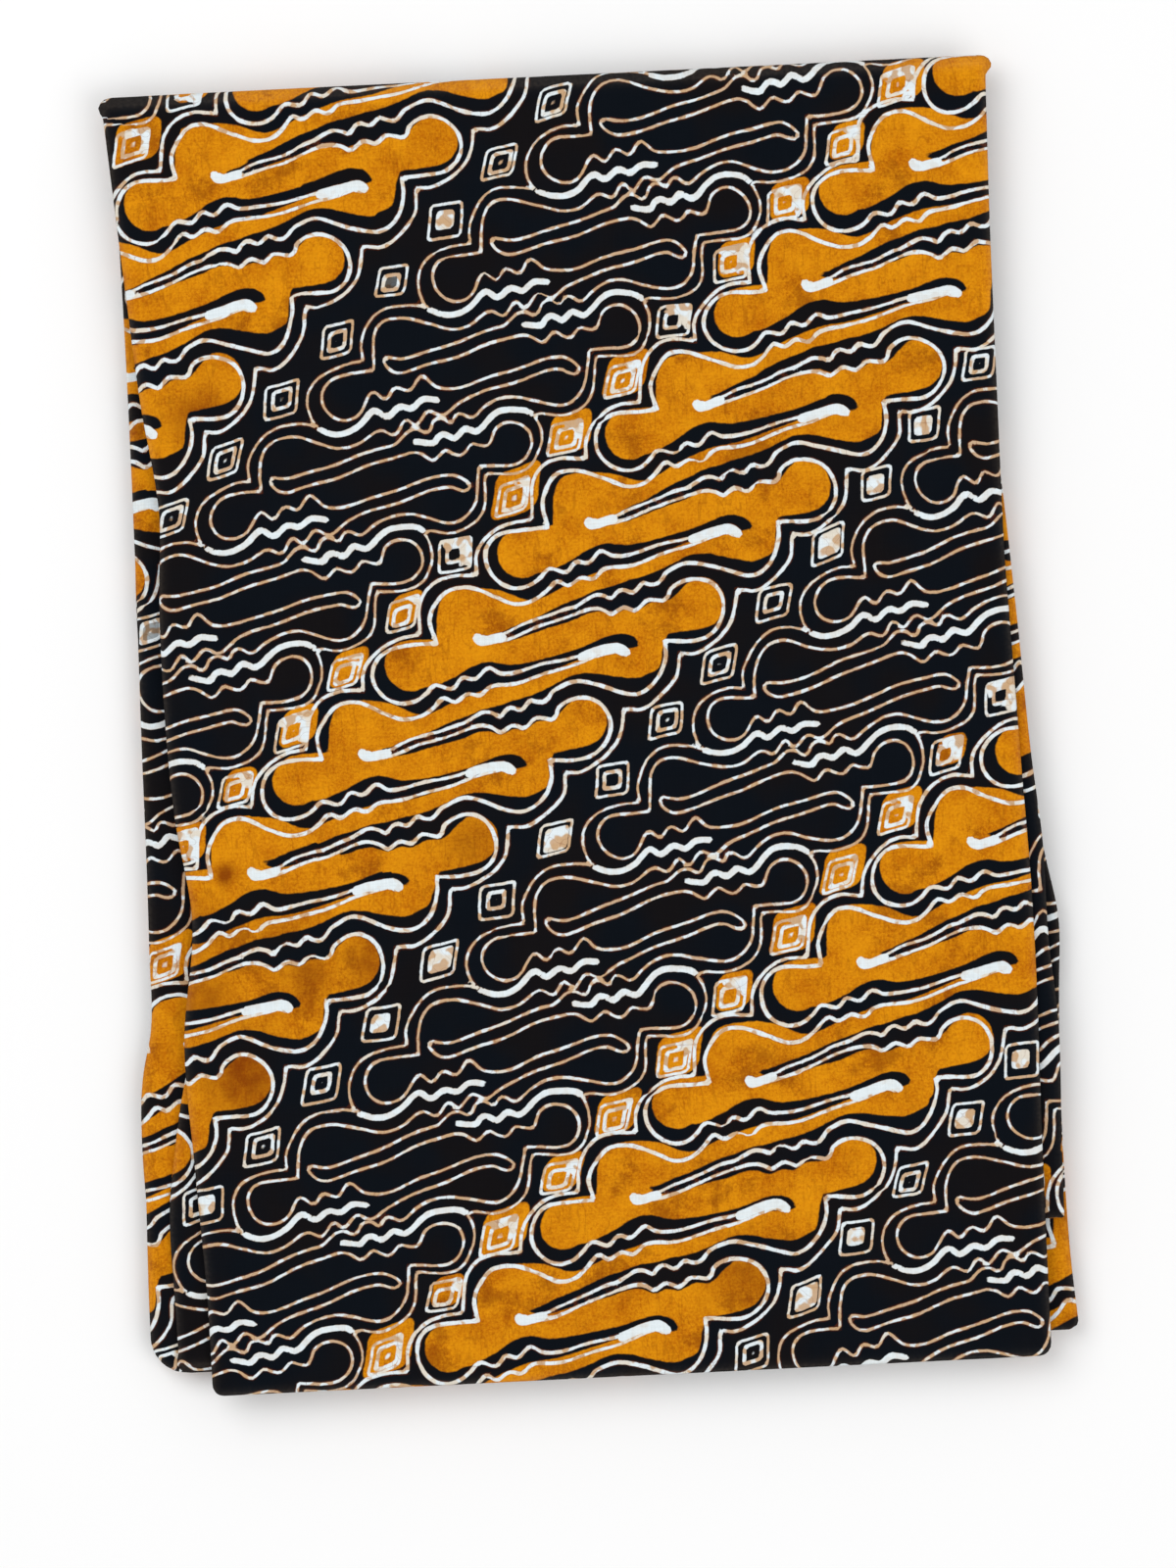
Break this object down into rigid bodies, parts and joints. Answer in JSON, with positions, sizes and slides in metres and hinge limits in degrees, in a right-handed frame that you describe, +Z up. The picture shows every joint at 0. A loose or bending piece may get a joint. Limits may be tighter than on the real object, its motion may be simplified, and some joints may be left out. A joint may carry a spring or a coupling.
{
  "type": "folded batik sarong",
  "caption": "Long batik cotton sarong folded flat into a layered rectangular bundle, slanting bands of orange and black, its lower stretches fanned out at the sides.",
  "frame": {"origin": "on the surface it lies on, below the middle of the bundle's box", "axes": "+Y towards the head fold along the bundle's long side, +X to the right seen from above, +Z up out of the top panel"},
  "size_m": [0.2992, 0.419, 0.0146],
  "materials": {
    "batik_cotton": "crisp plain-woven cotton, hand-stamped batik in black, orange-brown and undyed white, matt with a slight calendered sheen"
  },
  "bodies": {
    "root": {"top_panel": "batik_cotton", "head_fold": "batik_cotton", "tucked_end": "batik_cotton", "second_panel": "batik_cotton", "foot_fold": "batik_cotton", "third_panel": "batik_cotton", "folded_core": "batik_cotton"}
  },
  "joints": []
}
